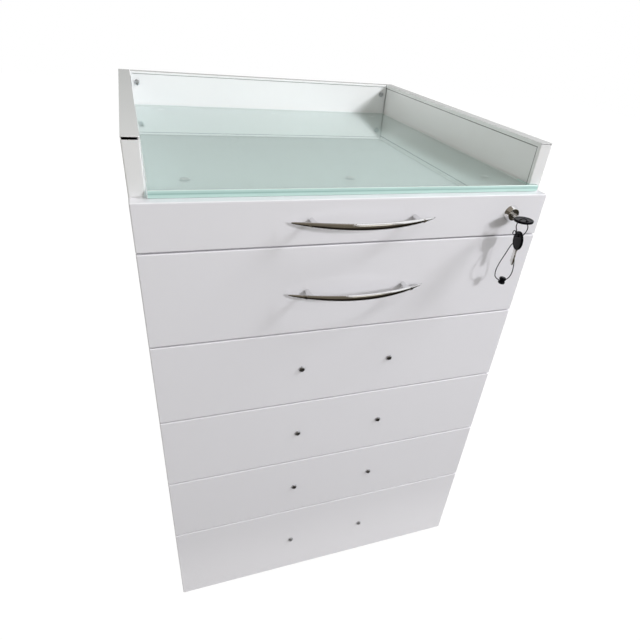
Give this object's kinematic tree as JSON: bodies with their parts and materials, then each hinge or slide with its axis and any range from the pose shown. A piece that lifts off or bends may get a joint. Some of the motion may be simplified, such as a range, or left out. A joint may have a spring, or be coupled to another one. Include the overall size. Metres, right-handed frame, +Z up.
{
  "type": "dental cabinet",
  "caption": "Floor-standing dental drawer cabinet with a glass top inside a low gallery, bow handles and a keyed lock.",
  "frame": {"origin": "on the floor, under the middle of the cabinet's whole outline from the key's head to the back", "axes": "+X to the viewer's right, +Y from the drawer fronts towards the back, +Z up"},
  "size_m": [0.5, 0.5433, 0.75],
  "materials": {
    "white_coat": "smooth gloss white powder coat",
    "tray_coat": "smooth satin white powder coat",
    "pane_glass": "clear float glass with a green tint and ground edges",
    "polished_chrome": "polished chrome plate",
    "zinc_steel": "bright zinc plate",
    "key_steel": "nickel plate",
    "black_gloss": "glossy black plastic",
    "black_cord": "thin black cord",
    "glide_plastic": "matte black plastic",
    "pad_rubber": "translucent silicone"
  },
  "bodies": {
    "cabinet": {"side_skin_left": "white_coat", "side_skin_right": "white_coat", "side_liner_left": "white_coat", "side_liner_right": "white_coat", "back_skin": "white_coat", "back_liner": "white_coat", "corner_brackets": "zinc_steel", "bracket_screws": "zinc_steel", "deck_pan": "white_coat", "base_pan": "white_coat", "glide_feet": "glide_plastic", "glide_nuts": "zinc_steel", "glass_top": "pane_glass", "glass_pads": "pad_rubber", "slide_outer_rails": "zinc_steel", "lock_strike": "zinc_steel"},
    "drawer_1": {"drawer_1_front": "white_coat", "drawer_1_tray": "tray_coat", "drawer_1_rails": "zinc_steel", "drawer_1_fasteners": "zinc_steel", "drawer_1_handle": "polished_chrome", "lock_housing": "polished_chrome", "lock_nut": "zinc_steel"},
    "slide_mid_1": {"slide_mid_rails_1": "zinc_steel"},
    "drawer_2": {"drawer_2_front": "white_coat", "drawer_2_tray": "tray_coat", "drawer_2_rails": "zinc_steel", "drawer_2_fasteners": "zinc_steel", "drawer_2_handle": "polished_chrome"},
    "slide_mid_2": {"slide_mid_rails_2": "zinc_steel"},
    "drawer_3": {"drawer_3_front": "white_coat", "drawer_3_tray": "tray_coat", "drawer_3_rails": "zinc_steel", "drawer_3_fasteners": "zinc_steel"},
    "slide_mid_3": {"slide_mid_rails_3": "zinc_steel"},
    "drawer_4": {"drawer_4_front": "white_coat", "drawer_4_tray": "tray_coat", "drawer_4_rails": "zinc_steel", "drawer_4_fasteners": "zinc_steel"},
    "slide_mid_4": {"slide_mid_rails_4": "zinc_steel"},
    "drawer_5": {"drawer_5_front": "white_coat", "drawer_5_tray": "tray_coat", "drawer_5_rails": "zinc_steel", "drawer_5_fasteners": "zinc_steel"},
    "slide_mid_5": {"slide_mid_rails_5": "zinc_steel"},
    "drawer_6": {"drawer_6_front": "white_coat", "drawer_6_tray": "tray_coat", "drawer_6_rails": "zinc_steel", "drawer_6_fasteners": "zinc_steel"},
    "slide_mid_6": {"slide_mid_rails_6": "zinc_steel"},
    "lock_cylinder": {"lock_plug": "polished_chrome", "lock_cam": "zinc_steel", "lock_cam_screw": "zinc_steel"},
    "key": {"key_blade": "key_steel", "key_head": "black_gloss"},
    "key_loop": {"key_cord": "black_cord", "cord_bead": "black_gloss"},
    "spare_key": {"spare_key_blade": "key_steel", "spare_key_head": "black_gloss"}
  },
  "joints": [
    {"name": "drawer_1_slide", "type": "slide", "parent": "cabinet", "child": "drawer_1", "axis": [0, -1, 0], "range_m": [0, 0.42]},
    {"name": "slide_mid_1_slide", "type": "slide", "parent": "cabinet", "child": "slide_mid_1", "axis": [0, -1, 0], "range_m": [0, 0.21]},
    {"name": "drawer_2_slide", "type": "slide", "parent": "cabinet", "child": "drawer_2", "axis": [0, -1, 0], "range_m": [0, 0.42], "deforming": ["key_cord", "cord_bead", "spare_key_blade", "spare_key_head"]},
    {"name": "slide_mid_2_slide", "type": "slide", "parent": "cabinet", "child": "slide_mid_2", "axis": [0, -1, 0], "range_m": [0, 0.21]},
    {"name": "drawer_3_slide", "type": "slide", "parent": "cabinet", "child": "drawer_3", "axis": [0, -1, 0], "range_m": [0, 0.42]},
    {"name": "slide_mid_3_slide", "type": "slide", "parent": "cabinet", "child": "slide_mid_3", "axis": [0, -1, 0], "range_m": [0, 0.21]},
    {"name": "drawer_4_slide", "type": "slide", "parent": "cabinet", "child": "drawer_4", "axis": [0, -1, 0], "range_m": [0, 0.42]},
    {"name": "slide_mid_4_slide", "type": "slide", "parent": "cabinet", "child": "slide_mid_4", "axis": [0, -1, 0], "range_m": [0, 0.21]},
    {"name": "drawer_5_slide", "type": "slide", "parent": "cabinet", "child": "drawer_5", "axis": [0, -1, 0], "range_m": [0, 0.42]},
    {"name": "slide_mid_5_slide", "type": "slide", "parent": "cabinet", "child": "slide_mid_5", "axis": [0, -1, 0], "range_m": [0, 0.21]},
    {"name": "drawer_6_slide", "type": "slide", "parent": "cabinet", "child": "drawer_6", "axis": [0, -1, 0], "range_m": [0, 0.42]},
    {"name": "slide_mid_6_slide", "type": "slide", "parent": "cabinet", "child": "slide_mid_6", "axis": [0, -1, 0], "range_m": [0, 0.21]},
    {"name": "lock_turn", "type": "hinge", "parent": "drawer_1", "child": "lock_cylinder", "pos_m": [0.2023, -0.23125, 0.6692], "axis": [0, 1, 0], "range_deg": [0, 90], "deforming": ["key_cord"]},
    {"name": "key_withdraw", "type": "slide", "parent": "lock_cylinder", "child": "key", "axis": [0, -1, 0], "range_m": [0, 0.03]},
    {"name": "key_loop_hang", "type": "hinge", "parent": "key", "child": "key_loop", "pos_m": [0.2023, -0.26375, 0.6692], "axis": [0, 1, 0], "range_deg": [-90, 0]},
    {"name": "spare_key_swing", "type": "hinge", "parent": "key_loop", "child": "spare_key", "pos_m": [0.1985, -0.26225, 0.6518], "axis": [-0.9659, 0.2588, 0], "range_deg": [-20, 20]}
  ],
  "couplings": [
    {"joint": "slide_mid_1_slide", "follows": "drawer_1_slide", "ratio": 0.5},
    {"joint": "slide_mid_2_slide", "follows": "drawer_2_slide", "ratio": 0.5},
    {"joint": "slide_mid_3_slide", "follows": "drawer_3_slide", "ratio": 0.5},
    {"joint": "slide_mid_4_slide", "follows": "drawer_4_slide", "ratio": 0.5},
    {"joint": "slide_mid_5_slide", "follows": "drawer_5_slide", "ratio": 0.5},
    {"joint": "slide_mid_6_slide", "follows": "drawer_6_slide", "ratio": 0.5},
    {"joint": "key_loop_hang", "follows": "lock_turn", "ratio": -1}
  ]
}
